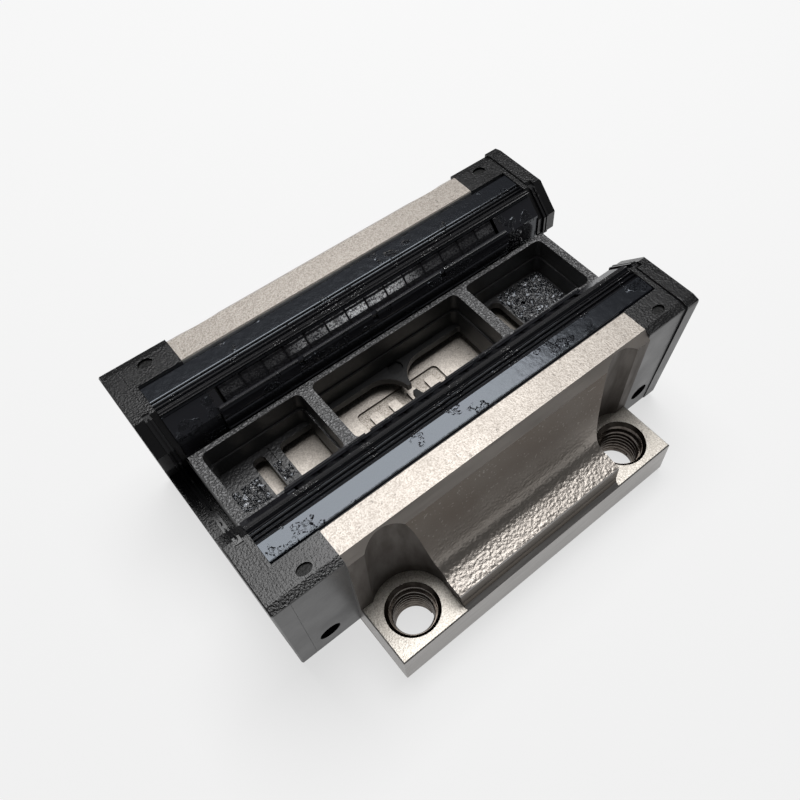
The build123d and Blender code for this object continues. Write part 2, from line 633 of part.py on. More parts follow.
def main():
    os.makedirs("parts", exist_ok=True)
    write("carriage_body", carriage_body())
    write("transport_arbor", transport_arbor())
    for row, circuit in CIRCUITS.items():
        write_leg_pair(f"{row}_row_rollers", roller_row(circuit.load, circuit.load_axis))
        write_leg_pair(f"{row}_return_rollers", roller_row(circuit.back, circuit.axis))
        write_leg_pair(f"{row}_return_tube", return_tube(circuit))
    write_leg_pair("nose_retainer", nose_retainer())
    write_leg_pair("face_retainer", face_retainer())
    write_leg_pair("saddle_retainer", saddle_retainer())
    write_leg_pair("seal_strip", seal_strip())
    write_leg_pair("strip_lip", strip_lip())
    guide = return_guide()
    write_end_pair("return_guide_rear", guide)
    write_end_pair("return_guide_front", to_front(guide))
    turning = [shape for circuit in CIRCUITS.values() for shape in circuit.turn_rollers()]
    write_end_pair("turn_rollers", turning + [to_front(shape) for shape in turning])
    write_end_pair("end_cap", end_cap())
    write_end_pair("lube_insert", lube_insert())
    write("end_seal_plate_right", seal_plate(0.5))
    write("end_seal_plate_left", to_left(seal_plate(0.0)))
    write_end_pair("end_seal_lip", seal_lip())
    write_end_pair("end_screws", end_screws())
    write_end_pair("end_port_plug", end_plug())


main()
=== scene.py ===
"""The looks of the roller guide carriage: materials, thread ridges, grease, camera and light."""
import math

import bpy
from mathutils import Matrix, Vector, noise


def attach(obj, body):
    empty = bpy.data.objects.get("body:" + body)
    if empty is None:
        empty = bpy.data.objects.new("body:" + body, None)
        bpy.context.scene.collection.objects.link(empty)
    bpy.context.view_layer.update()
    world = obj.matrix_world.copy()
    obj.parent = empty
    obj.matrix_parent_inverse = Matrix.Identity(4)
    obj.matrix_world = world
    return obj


MM = 0.001
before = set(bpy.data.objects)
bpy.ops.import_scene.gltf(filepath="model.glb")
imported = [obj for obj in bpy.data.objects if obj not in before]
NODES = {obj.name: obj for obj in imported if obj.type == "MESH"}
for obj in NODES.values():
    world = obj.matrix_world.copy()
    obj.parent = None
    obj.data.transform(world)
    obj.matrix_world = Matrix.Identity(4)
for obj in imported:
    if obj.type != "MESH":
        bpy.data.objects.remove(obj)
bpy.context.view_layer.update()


# ---- shader recipes ------------------------------------------------------------------------
# the Mix node has a socket of the same name for every kind of data: these are the colour ones
MIX_COLOR_INPUTS, MIX_COLOR_OUTPUT = (6, 7), 2


class Shader:
    """A principled material, written as a short recipe. Lengths in shaders are in metres."""

    def __init__(self, name, color, roughness, metallic=0.0, **sockets):
        self.material = bpy.data.materials.new(name)
        self.material.use_nodes = True
        self.tree = self.material.node_tree
        self.surface = self.tree.nodes["Principled BSDF"]
        self.set("Base Color", (*color, 1.0))
        self.set("Roughness", roughness)
        self.set("Metallic", metallic)
        for socket, value in sockets.items():
            self.set(socket.replace("_", " "), value)
        self.place = self.tree.nodes.new("ShaderNodeTexCoord").outputs["Object"]

    def set(self, socket, value):
        """Gives a socket of the surface a constant, or a link from another node."""
        self.feed(self.surface.inputs[socket], value)

    def feed(self, socket, value):
        if isinstance(value, bpy.types.NodeSocket):
            self.tree.links.new(value, socket)
        else:
            socket.default_value = value

    def node(self, kind, output, inputs, **settings):
        made = self.tree.nodes.new("ShaderNode" + kind)
        for key, value in settings.items():
            setattr(made, key, value)
        for key, value in inputs.items():
            self.feed(made.inputs[key], value)
        return made.outputs[output]

    def noise(self, grain, detail=2.0, rough=0.5, distort=0.0, place=None):
        """Cloudy noise, 0 to 1, whose lumps are about one grain wide."""
        inputs = {"Vector": place or self.place, "Scale": 1 / grain, "Detail": detail,
                  "Roughness": rough, "Distortion": distort}
        return self.node("TexNoise", "Fac", inputs)

    def cells(self, grain, smooth, place):
        """Rounded cells about one grain wide, 0 in the middle of each."""
        inputs = {"Vector": place, "Scale": 1 / grain, "Smoothness": smooth}
        return self.node("TexVoronoi", "Distance", inputs, feature="SMOOTH_F1")

    def stretched(self, x, y, z):
        """The place with its axes scaled, so that a pattern runs long where the scale is small."""
        return self.node("Mapping", "Vector", {"Vector": self.place, "Scale": (x, y, z)})

    def axis(self, name):
        return self.node("SeparateXYZ", name, {"Vector": self.place})

    def span(self, value, low, high, to_low=0.0, to_high=1.0, smooth=False):
        """Maps low..high onto to_low..to_high, and holds the ends."""
        inputs = {"Value": value, "From Min": low, "From Max": high,
                  "To Min": to_low, "To Max": to_high}
        return self.node("MapRange", "Result", inputs, clamp=True,
                         interpolation_type="SMOOTHSTEP" if smooth else "LINEAR")

    def math(self, operation, a, b=0.0):
        made = self.tree.nodes.new("ShaderNodeMath")
        made.operation = operation
        self.feed(made.inputs[0], a)
        self.feed(made.inputs[1], b)
        return made.outputs[0]

    def mix(self, factor, a, b):
        made = self.tree.nodes.new("ShaderNodeMix")
        made.data_type = "RGBA"
        self.feed(made.inputs["Factor"], factor)
        for index, value in zip(MIX_COLOR_INPUTS, (a, b)):
            link = isinstance(value, bpy.types.NodeSocket)
            self.feed(made.inputs[index], value if link else (*value, 1.0))
        return made.outputs[MIX_COLOR_OUTPUT]

    def bump(self, height, depth, below=None, strength=1.0):
        """Relief whose highest lumps stand about depth proud."""
        inputs = {"Height": height, "Distance": depth, "Strength": strength}
        if below:
            inputs["Normal"] = below
        relief = self.node("Bump", "Normal", inputs)
        self.set("Normal", relief)
        return relief


def blasted_steel(name, light, dark, roughness=0.46):
    """Bead-blasted face: fine bright and dark grains."""
    s = Shader(name, light, roughness, 1.0)
    grain = s.noise(0.00040, 1.5, 0.55)
    broad = s.noise(0.009, 3.0)
    speck = s.span(s.noise(0.0013, 1.0, 0.5), 0.70, 0.74)
    color = s.mix(s.span(grain, 0.34, 0.62), dark, light)
    color = s.mix(s.span(broad, 0.35, 0.8, 0.0, 0.1), color, dark)
    pit = tuple(c * 0.4 for c in dark)
    s.set("Base Color", s.mix(s.math("MULTIPLY", speck, 0.5), color, pit))
    s.set("Roughness", s.span(broad, 0.3, 0.7, roughness - 0.01, roughness + 0.03))
    s.bump(grain, 0.00008, strength=0.8)
    return s.material


def forged_steel():
    """Forged skin under a dull oxide: smooth high on the leg, pebbled and glossy at the rib."""
    s = Shader("forged_steel", (0.15, 0.135, 0.12), 0.42, 1.0)
    height = s.axis("Z")
    low = s.span(height, 0.021, 0.041, 1.0, 0.0, True)
    pebble = s.cells(0.0010, 0.6, s.stretched(0.8, 1, 1))
    ripple = s.noise(0.0008, 2.0, 0.5, 0.3)
    fine = s.noise(0.00035, 2.0)
    light_specks = s.span(s.noise(0.0008, 1.0, 0.5), 0.66, 0.72)
    base = s.mix(low, (0.135, 0.118, 0.103), (0.37, 0.34, 0.31))
    blotch = s.span(s.noise(0.016, 4.0, 0.6), 0.35, 0.7, 0.0, 0.55)
    blotch = s.math("MULTIPLY", blotch, s.span(low, 0.0, 1.0, 1.0, 0.3))
    base = s.mix(blotch, base, (0.10, 0.078, 0.062))
    s.set("Base Color", s.mix(s.math("MULTIPLY", light_specks, 0.3), base, (0.45, 0.43, 0.40)))
    s.set("Roughness", s.span(low, 0.0, 1.0, 0.48, 0.38))
    under = s.bump(fine, 0.00004, strength=0.5)
    lumps = s.math("ADD", s.math("MULTIPLY", pebble, -0.6), s.math("MULTIPLY", ripple, 0.7))
    relief = s.math("MULTIPLY", lumps, s.span(low, 0.0, 1.0, 0.08, 1.0))
    s.bump(relief, 0.0004, under, 0.55)
    return s.material


def room_steel():
    """The smooth drafted walls round the bolt heads: dark, a little brown, with long streaks."""
    s = Shader("room_steel", (0.11, 0.098, 0.088), 0.55, 1.0)
    streak = s.noise(0.004, 3.0, 0.55, place=s.stretched(1, 1, 0.25))
    light, dark = (0.13, 0.118, 0.108), (0.085, 0.074, 0.066)
    s.set("Base Color", s.mix(s.span(streak, 0.35, 0.7), light, dark))
    s.set("Roughness", s.span(streak, 0.3, 0.7, 0.55, 0.68))
    s.bump(s.noise(0.0009, 2.0), 0.00003, strength=0.4)
    return s.material


def milled_steel(name="milled_steel", color=(0.325, 0.312, 0.30), roughness=0.34):
    """Machined side with faint tool lines along the travel."""
    s = Shader(name, color, roughness, 1.0)
    lines = s.noise(0.0006, 3.0, 0.6, place=s.stretched(0.03, 1, 1))
    cloud = s.noise(0.015, 3.0)
    dark = tuple(c * 0.78 for c in color)
    s.set("Base Color", s.mix(s.span(cloud, 0.35, 0.75, 0.0, 0.6), color, dark))
    s.set("Roughness", s.span(lines, 0.3, 0.7, roughness - 0.06, roughness + 0.1))
    s.bump(lines, 0.00003, strength=0.5)
    return s.material


def thread_steel():
    """The brownish, oily steel of the mounting holes."""
    s = Shader("thread_steel", (0.34, 0.30, 0.26), 0.26, 1.0)
    grime = s.noise(0.002, 3.0)
    s.set("Base Color", s.mix(s.span(grime, 0.35, 0.7), (0.15, 0.13, 0.112), (0.06, 0.049, 0.041)))
    return s.material


# the rows of rollers next to the leg faces, in millimetres
ROW_Y, ROW_Z = 20.0, 45.25
ROW_START, ROLLER_PITCH = -44.525, 6.85


def polished_steel(name, highlit):
    """Ground roller steel, silver and speckled in the band the rail wipes as a painted highlight
    that is brightest over the middle of the row, with a thin line at the rollers' end chamfers;
    else greasy black.

    The second argument is 1 for the row given the painted highlight and 0 for the row painted
    black all over, as painted shade.
    """
    s = Shader(name, (0.5, 0.5, 0.52), 0.2, 0.4, Specular_IOR_Level=0.12)
    along = s.math("ADD", s.math("ABSOLUTE", s.axis("Y")), s.axis("Z"))
    band = s.math("SUBTRACT", along, (ROW_Y + ROW_Z) * MM)
    # painted highlight: strip is the band along the rollers that shows silver
    strip = s.math("MULTIPLY", s.span(band, -0.4 * MM, -0.1 * MM),
                   s.span(band, 2.7 * MM, 3.0 * MM, 1.0, 0.0))
    # painted highlight: edge is a thin bright line at the rollers' end chamfers
    edge = s.math("MULTIPLY", s.span(band, 3.8 * MM, 3.9 * MM),
                  s.span(band, 4.1 * MM, 4.25 * MM, 0.7, 0.0))
    travel = s.axis("X")
    # painted highlight: strongest over the middle of the row and faded towards both ends
    middle = s.math("MULTIPLY", s.span(travel, -0.027, -0.014, 0.05, 1.0),
                    s.span(travel, 0.010, 0.020, 1.0, 0.08))
    cloud = s.noise(0.007, 2.0, 0.5)
    place = s.math("DIVIDE", s.math("SUBTRACT", travel, ROW_START * MM), ROLLER_PITCH * MM)
    number = s.math("FLOOR", s.math("ADD", place, 0.5))
    chance = s.node("TexWhiteNoise", "Value", {"W": number}, noise_dimensions="1D")
    shade = s.span(chance, 0.0, 1.0, 0.35, 1.0)
    past_roller = s.math("FRACT", s.math("ADD", place, 10.0))
    off_gap = s.math("ABSOLUTE", s.math("SUBTRACT", past_roller, 0.5))
    # each roller's tone varies at random, and painted shade leaves the gaps between rollers dark
    blocks = s.math("MULTIPLY", shade, s.span(off_gap, 0.03, 0.06))
    # a row given 0 gets no painted highlight and stays black, as painted shade
    middle = s.math("MULTIPLY", middle, highlit)
    painted_highlight = s.math("MULTIPLY", s.span(cloud, 0.3, 0.44, 0.25, 1.0), middle)
    painted_highlight = s.math("MULTIPLY", painted_highlight, blocks)
    speckle = s.noise(0.0005, 3.0, 0.6, 0.5)
    silver = s.mix(s.span(speckle, 0.42, 0.54), (0.10, 0.10, 0.108), (0.97, 0.98, 1.0))
    shown = s.math("MULTIPLY", s.math("ADD", strip, edge), painted_highlight)
    s.set("Base Color", s.mix(shown, (0.012, 0.012, 0.014), silver))
    s.set("Roughness", s.span(speckle, 0.4, 0.6, 0.5, 0.3))
    s.bump(speckle, 0.0004 * highlit + 0.00003, strength=0.9)
    return s.material


def black_screw():
    s = Shader("black_oxide", (0.035, 0.035, 0.038), 0.4, 0.9)
    s.bump(s.noise(0.0004, 2.0), 0.00002, strength=0.4)
    return s.material


def moulded(name, color, roughness, grain, depth, light=None, specks=0.0, **sockets):
    """Moulded black plastic with an even texture, and light specks on its texture's high spots."""
    s = Shader(name, color, roughness, **sockets)
    texture = s.noise(grain, 2.0, 0.55)
    cloud = s.noise(0.012, 3.0)
    base = s.mix(s.span(cloud, 0.3, 0.75), color, tuple(c * 1.4 for c in color))
    if specks:
        light_specks = s.span(texture, 0.53, 0.62, 0.0, specks)
        base = s.mix(light_specks, base, light)
    s.set("Base Color", base)
    s.set("Roughness", s.span(cloud, 0.3, 0.7, roughness - 0.05, roughness + 0.08))
    s.bump(texture, depth, strength=0.8)
    return s.material


def greased_plastic(name, color, roughness, wet, depth, curl=0.0012, **sockets):
    """Glossy plastic with curled smears of grease standing on it; wet is the share covered."""
    s = Shader(name, color, roughness, **sockets)
    smear = s.noise(curl, 3.0, 0.55, 1.2)
    where = s.noise(0.006, 1.0, 0.5)
    patch = s.span(where, 0.68 - wet, 0.72 - wet, 0.0, 1.0, True)
    edge = s.math("MULTIPLY", s.span(smear, 0.49, 0.53, 0.0, 1.0, True), patch)
    s.set("Base Color", s.mix(edge, color, tuple(c * 0.6 for c in color)))
    s.set("Roughness", s.span(edge, 0.0, 1.0, roughness, 0.1))
    under = s.bump(s.noise(0.0021, 2.0), 0.00012, strength=0.35)
    s.bump(edge, depth, under, 0.9)
    return s.material


def grease():
    """Dark clear grease, crinkled and very glossy, with painted glints on its crinkles' crests."""
    s = Shader("grease", (0.018, 0.019, 0.022), 0.14, Specular_IOR_Level=1.0)
    ripple = s.noise(0.0015, 3.0, 0.6, 0.8)
    # painted highlight: bluish-white flecks on the crests stand for glints
    s.set("Base Color", s.mix(s.span(ripple, 0.6, 0.66), (0.012, 0.013, 0.016), (0.5, 0.53, 0.58)))
    s.bump(ripple, 0.0012, strength=1.0)
    return s.material


# ---- finishes of the CAD nodes -------------------------------------------------------------
def paint(name, *materials):
    """Replaces a CAD node's materials."""
    slots = NODES[name].data.materials
    slots.clear()
    for material in materials:
        slots.append(material)


def paint_like(prefix, *materials):
    for name in NODES:
        if name.startswith(prefix):
            paint(name, *materials)


def paint_faces(name, choose):
    """Gives each face of a CAD node the material slot that choose(centre_mm, normal) says."""
    mesh = NODES[name].data
    for polygon in mesh.polygons:
        polygon.material_index = choose(polygon.center / MM, polygon.normal)


# the steel body's sizes, in millimetres
HOLE_X, HOLE_Y = 40.0, 50.0
HOLE_MOUTH_RADIUS = 7.9
BODY_END_X = 50.5
SPOT_Z = 14.7                  # the spot faces round the mounting holes
RIB_Z = 21.5                   # top of the flange between them
CHAMFER_Z = 48.6
LEG_TOP_Z = 51.0
LEG_SIDE_Y = 41.0              # inside this are the leg's bores and inner faces
CARTOUCHE_HALF_Y = 6.5
CHANNEL_HALF_Y, CHANNEL_LOW_Z = 27.0, 30.0
ROOM_LOW_RADIUS, ROOM_HIGH_RADIUS, ROOM_HEIGHT = 11.0, 9.0, 37.3
ROOM_END_X, PILLAR_X = 47.0, 45.4
ROOM_INNER_Y = 36.0
CHAMFER_OUTER_Y = 39.0         # chamfers further out than this have a finish of their own
RECESS_Z = 20.5                # the cartouche's floor is below this
LEG_INNER_Z = 50.5             # the leg's bores and inner faces end below this
HAIR, NEAR, ROOM_NEAR = 0.01, 0.1, 0.3     # how close counts as lying on a face
# share of the normal that points up, or to an end, on each kind of face
LEVEL, FLOORLIKE, CHAMFERED, UPRIGHT, ENDWARD = 0.97, 0.7, 0.4, 0.5, 0.8
LEG_FACE, SPOT_FACE, FORGED, MILLED, ROOM, THREAD, SADDLE, PAINTED_SHADE, CHAMFER, RECESS = range(10)


def room_radius(z):
    """Radius at height z of the drafted room round a bolt head."""
    return ROOM_LOW_RADIUS - (ROOM_LOW_RADIUS - ROOM_HIGH_RADIUS) * (z - SPOT_Z) / ROOM_HEIGHT


def body_face(centre, normal):
    """Steel finish or painted shade of a body face, from its place on any of the four corners."""
    x, y, z = abs(centre.x), abs(centre.y), centre.z
    to_hole = math.hypot(x - HOLE_X, y - HOLE_Y)
    if to_hole < HOLE_MOUTH_RADIUS and z < SPOT_Z - HAIR:
        return THREAD
    if normal.z > LEVEL and z > LEG_TOP_Z - NEAR:
        return LEG_FACE
    if z > CHAMFER_Z and CHAMFERED < normal.z <= LEVEL:
        return CHAMFER if y > CHAMFER_OUTER_Y else SPOT_FACE
    if normal.z > LEVEL and abs(z - SPOT_Z) < NEAR:
        return SPOT_FACE
    if z < SPOT_Z + HAIR and y > LEG_SIDE_Y:
        return MILLED
    on_room_wall = abs(to_hole - room_radius(z)) < ROOM_NEAR
    if z > SPOT_Z and on_room_wall and x < ROOM_END_X and y > ROOM_INNER_Y:
        return ROOM
    if y < CARTOUCHE_HALF_Y and z < RECESS_Z and normal.z > FLOORLIKE:
        return RECESS
    # the channel's walls, the legs' inner tops and the rib's upright sides get darker milled
    # steel: painted shade
    if y < CHANNEL_HALF_Y and z < CHANNEL_LOW_Z:
        return SADDLE if normal.z > FLOORLIKE else PAINTED_SHADE
    if y < LEG_SIDE_Y:
        return MILLED if z < LEG_INNER_Z else PAINTED_SHADE
    if abs(normal.x) > ENDWARD:
        return ROOM if x < BODY_END_X else MILLED
    if x > PILLAR_X:
        return ROOM
    if z < RIB_Z:
        return PAINTED_SHADE if abs(normal.z) < UPRIGHT else MILLED
    return FORGED


def paint_body():
    paint("carriage_body",
          blasted_steel("leg_face_steel", (0.42, 0.388, 0.354), (0.28, 0.252, 0.225)),
          blasted_steel("spot_face_steel", (0.63, 0.595, 0.545), (0.42, 0.388, 0.345), 0.45),
          forged_steel(), milled_steel(), room_steel(), thread_steel(),
          blasted_steel("saddle_steel", (0.62, 0.575, 0.525), (0.44, 0.40, 0.36), 0.55),
          # painted shade: a darker copy of the milled steel, for walls where shade falls
          milled_steel("painted_shade_steel", (0.12, 0.105, 0.09), 0.4),
          milled_steel("chamfer_steel", (0.56, 0.515, 0.475), 0.42),
          blasted_steel("recess_steel", (0.50, 0.46, 0.415), (0.24, 0.212, 0.185), 0.5))
    paint_faces("carriage_body", body_face)


CAP_TOP, CAP_SIDE, CAP_MARK = range(3)
MARK_X, MARK_Y = 58.75, 38.0   # the small oval pit in a cap's top
MARK_HALF_X, MARK_HALF_Y = 2.2, 1.6
CAP_LEVEL = 0.5                # upward share of the normal of a cap's top


def cap_face(centre, normal):
    """Grained plastic on top of a cap or seal plate, smoother plastic elsewhere."""
    off_x = (abs(centre.x) - MARK_X) / MARK_HALF_X
    off_y = (abs(centre.y) - MARK_Y) / MARK_HALF_Y
    if centre.z > LEG_TOP_Z - 1 and math.hypot(off_x, off_y) < 1:
        return CAP_MARK
    return CAP_TOP if normal.z > CAP_LEVEL else CAP_SIDE


RIM, WALL, FLOOR, MIDDLE_FLOOR = range(4)
ARBOR_RIM_Z = 39.0
ARBOR_LEVEL = 0.9              # upward share of the normal of its rim and floors
MIDDLE_POCKET_HALF = 26.0


def arbor_face(centre, normal):
    """Which plastic finish a face of the transport arbor has."""
    if normal.z < ARBOR_LEVEL:
        return WALL
    if centre.z > ARBOR_RIM_Z:
        return RIM
    return MIDDLE_FLOOR if abs(centre.x) < MIDDLE_POCKET_HALF else FLOOR


def paint_caps():
    cap_top = moulded("cap_top", (0.006, 0.006, 0.0065), 0.2, 0.0006, 0.00016,
                      Specular_IOR_Level=0.42)
    cap_side = moulded("cap_side", (0.014, 0.014, 0.015), 0.34, 0.0015, 0.00003)
    cap_mark = moulded("cap_mark", (0.004, 0.004, 0.004), 0.4, 0.0006, 0.0002,
                       Specular_IOR_Level=0.2)
    for end in ("left", "right"):
        for part in ("end_cap_", "end_seal_plate_"):
            paint(part + end, cap_top, cap_side, cap_mark)
            paint_faces(part + end, cap_face)


def paint_seals_and_retainers():
    blue = {"Specular_Tint": (0.82, 0.9, 1.0, 1.0)}
    strip = greased_plastic("strip", (0.006, 0.0065, 0.009), 0.17, 0.05, 0.0003, 0.0009,
                            IOR=1.62, **blue)
    paint_like("seal_strip", strip)
    lip = greased_plastic("lip", (0.004, 0.004, 0.005), 0.17, 0.08, 0.0001, **blue)
    paint_like("strip_lip", lip)
    end_lip = greased_plastic("end_lip", (0.012, 0.012, 0.013), 0.22, 0.1, 0.0002)
    paint_like("end_seal_lip", end_lip)
    greased = greased_plastic("retainer", (0.016, 0.016, 0.019), 0.2, 0.16, 0.0003, 0.0014, **blue)
    for part in ("nose_retainer", "face_retainer", "saddle_retainer", "return_guide"):
        paint_like(part, greased)


def paint_small_parts():
    # the rear face row gets the painted highlight; every other row is painted black, as painted
    # shade
    bright = polished_steel("roller_steel", 1.0)
    dull = polished_steel("shaded_roller_steel", 0.0)
    for name in NODES:
        if "roller" in name:
            paint(name, bright if name == "face_row_rollers_rear" else dull)
    paint_like("end_screws", black_screw())
    paint_like("end_port_plug", black_screw())
    tube = moulded("tube", (0.05, 0.05, 0.055), 0.4, 0.001, 0.00003)
    for name in NODES:
        if "tube" in name or "lube" in name:
            paint(name, tube)


def paint_arbor():
    rim = moulded("arbor_rim", (0.012, 0.012, 0.013), 0.32, 0.0006, 0.0003,
                  (0.42, 0.42, 0.43), 0.42)
    wall = moulded("arbor_wall", (0.03, 0.03, 0.03), 0.4, 0.002, 0.00005)
    floor = moulded("arbor_floor", (0.012, 0.012, 0.013), 0.32, 0.0009, 0.00022,
                    (0.1, 0.1, 0.11), 0.03)
    shaded = moulded("arbor_middle_floor", (0.007, 0.007, 0.0075), 0.5, 0.0009, 0.0001,
                     Specular_IOR_Level=0.2)
    paint("transport_arbor", rim, wall, floor, shaded)
    paint_faces("transport_arbor", arbor_face)


# ---- pieces the solids leave plain -----------------------------------------------------------
def piece(name, points, faces, material, body, smooth=True):
    """A mesh in millimetres, riding on a body."""
    mesh = bpy.data.meshes.new(name)
    mesh.from_pydata([tuple(c * MM for c in point) for point in points], [], faces)
    mesh.materials.append(material)
    if smooth:
        mesh.shade_smooth()
    made = bpy.data.objects.new(name, mesh)
    bpy.context.scene.collection.objects.link(made)
    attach(made, body)


THREAD_PITCH = 1.75
THREAD_STEPS = 56              # round one turn
THREAD_FROM, THREAD_TO = 0.9, 11.2
# (radius, rise) round the section of the ridge, from its lower foot over the crest to its upper
THREAD_SECTION = ((6.02, -0.8), (5.6, -0.1), (5.6, 0.1), (6.02, 0.8))


def thread_ridge(name, x, y, material):
    """The helical ridge of an M12 thread inside one mounting hole."""
    turns = (THREAD_TO - THREAD_FROM) / THREAD_PITCH
    count = int(turns * THREAD_STEPS)
    points, faces = [], []
    for i in range(count + 1):
        angle = 2 * math.pi * i / THREAD_STEPS
        z = THREAD_FROM + THREAD_PITCH * i / THREAD_STEPS
        for radius, rise in THREAD_SECTION:
            points.append((x + radius * math.cos(angle), y + radius * math.sin(angle), z + rise))
    width = len(THREAD_SECTION)
    for i in range(count):
        for j in range(width - 1):
            a = i * width + j
            faces.append((a, a + 1, a + width + 1, a + width))
    piece(name, points, faces, material, "carriage")


def add_threads():
    steel = thread_steel()
    for end, x in (("left", -HOLE_X), ("right", HOLE_X)):
        for leg, y in (("front", -HOLE_Y), ("rear", HOLE_Y)):
            thread_ridge(f"thread_{leg}_{end}", x, y, steel)


STRIP_END = 63.8
# place (y, z) and radius of each rounded rib on a sealing lip
LIP_BEADS = ((25.6, 50.55, 0.2), (24.4, 50.54, 0.26), (23.15, 50.66, 0.3), (22.2, 50.45, 0.22),
             (21.25, 51.0, 0.3))
LIP_EDGE = ((21.6, 50.55), (21.3, 50.95), (20.9, 50.9), (20.55, 51.15), (20.25, 51.18),
            (20.15, 51.0), (20.4, 50.8), (21.3, 50.3))
ROD_Y, ROD_Z, ROD_RADIUS = 15.62, 46.7, 0.42
ROD_SPANS = ((-50.4, -25.9), (-24.1, -0.9), (0.9, 24.1), (25.9, 50.4))


def lengthwise_piece(name, outline, material, x_from=-STRIP_END, x_to=STRIP_END,
                     smooth=True):
    """An outline of (y, z) points drawn out along X and closed at both ends."""
    points = [(x, y, z) for x in (x_from, x_to) for y, z in outline]
    count = len(outline)
    faces = [(i, (i + 1) % count, (i + 1) % count + count, i + count) for i in range(count)]
    faces += [tuple(range(count)), tuple(range(count, 2 * count))]
    piece(name, points, faces, material, "carriage", smooth)


def round_outline(y, z, radius, sides=12):
    turns = [2 * math.pi * i / sides for i in range(sides)]
    return [(y + radius * math.cos(turn), z + radius * math.sin(turn)) for turn in turns]


def add_lips():
    """Ribs and the thin wiping edge of the lengthwise seals, and rods along the retainers."""
    glossy = greased_plastic("lip_rib", (0.01, 0.01, 0.012), 0.16, 0.06, 0.0001, IOR=3.6)
    dull = greased_plastic("rod", (0.05, 0.05, 0.055), 0.22, 0.08, 0.0002, IOR=3.0)
    for leg, side in (("rear", 1), ("front", -1)):
        for i, (y, z, radius) in enumerate(LIP_BEADS):
            outline = round_outline(side * y, z, radius)
            lengthwise_piece(f"lip_rib_{i + 1}_{leg}", outline, glossy)
        edge = [(side * y, z) for y, z in LIP_EDGE]
        lengthwise_piece("lip_edge_" + leg, edge, glossy)
        for i, (x_from, x_to) in enumerate(ROD_SPANS):
            rod = round_outline(side * ROD_Y, ROD_Z, ROD_RADIUS)
            name = f"retainer_rod_{i + 1}_{leg}"
            lengthwise_piece(name, rod, dull, x_from, x_to)


def row_point(along, across):
    """(y, z) in the rear face row, along the rollers' axis and across it towards the rail."""
    return (ROW_Y + (along - across) * math.sqrt(0.5), ROW_Z + (along + across) * math.sqrt(0.5))


# a tongue's width along the rollers' axis, its under and upper side, and its span of x
TONGUE_HALF, TONGUE_UNDER, TONGUE_OVER = 3.1, 3.08, 3.2
TONGUE_FROM, TONGUE_TO = 48.6, 50.84


def add_tongues():
    """Thin tongues of the return guides that reach over the end of each face row."""
    plastic = greased_plastic("tongue", (0.016, 0.016, 0.019), 0.2, 0.16, 0.0002, 0.0014)
    corners = [row_point(-TONGUE_HALF, TONGUE_UNDER), row_point(TONGUE_HALF, TONGUE_UNDER),
               row_point(TONGUE_HALF, TONGUE_OVER), row_point(-TONGUE_HALF, TONGUE_OVER)]
    spans = (("right", TONGUE_FROM, TONGUE_TO), ("left", -TONGUE_TO, -TONGUE_FROM))
    for leg, side in (("rear", 1), ("front", -1)):
        outline = [(side * y, z) for y, z in corners]
        for end, x_from, x_to in spans:
            name = f"guide_tongue_{leg}_{end}"
            lengthwise_piece(name, outline, plastic, x_from, x_to, False)


def drift(x, y, grain, seed):
    """Smooth noise at (x, y) with lumps about one grain wide, about -1 to 1."""
    return noise.noise(Vector((x / grain, y / grain, seed)))


PATCH_STEP = 0.3


def grease_patch(name, material, x_span, y_span, z, depth, seed, fill):
    """A crinkled film of grease with a ragged edge, lying level in the arbor.

    depth is its height at the crinkles, and a larger fill covers more of the spans.
    """
    columns = int((x_span[1] - x_span[0]) / PATCH_STEP)
    rows = int((y_span[1] - y_span[0]) / PATCH_STEP)
    points, faces, kept = [], [], []
    for i in range(columns + 1):
        for j in range(rows + 1):
            u, v = i / columns, j / rows
            x = x_span[0] + u * (x_span[1] - x_span[0])
            y = y_span[0] + v * (y_span[1] - y_span[0])
            inwards = min(u, 1 - u, v, 1 - v) * 6
            cover = drift(x, y, 3.2, seed) + 0.5 * drift(x, y, 1.1, seed + 5) + fill
            cover = min(cover, inwards + 0.3 * drift(x, y, 0.9, seed + 9) - 0.1)
            ridge = 1 - abs(drift(x + 0.4 * drift(x, y, 0.8, seed), y, 1.3, seed + 2)) * 2.2
            height = depth * max(0.0, min(1.0, cover * 3)) * (0.35 + 0.65 * max(0.0, ridge))
            kept.append(cover > 0)
            points.append((x, y, z + height))
    for i in range(columns):
        for j in range(rows):
            a = i * (rows + 1) + j
            corners = (a, a + rows + 1, a + rows + 2, a + 1)
            if all(kept[corner] for corner in corners):
                faces.append(corners)
    piece(name, points, faces, material, "arbor")


FILM_END = 47.7                # a film about 2 mm longer cuts the return guides when it moves
FILM_STEP, FILM_ROWS = 0.25, 18
FILM_HALF_WIDTH, FILM_HEIGHT = 3.0, 2.93
FILM_DIP, FILM_DIP_WIDTH = 0.5, 0.22
FILM_RIPPLE, FILM_RIPPLE_GRAIN, FILM_SEED = 0.1, 0.7, 3.0


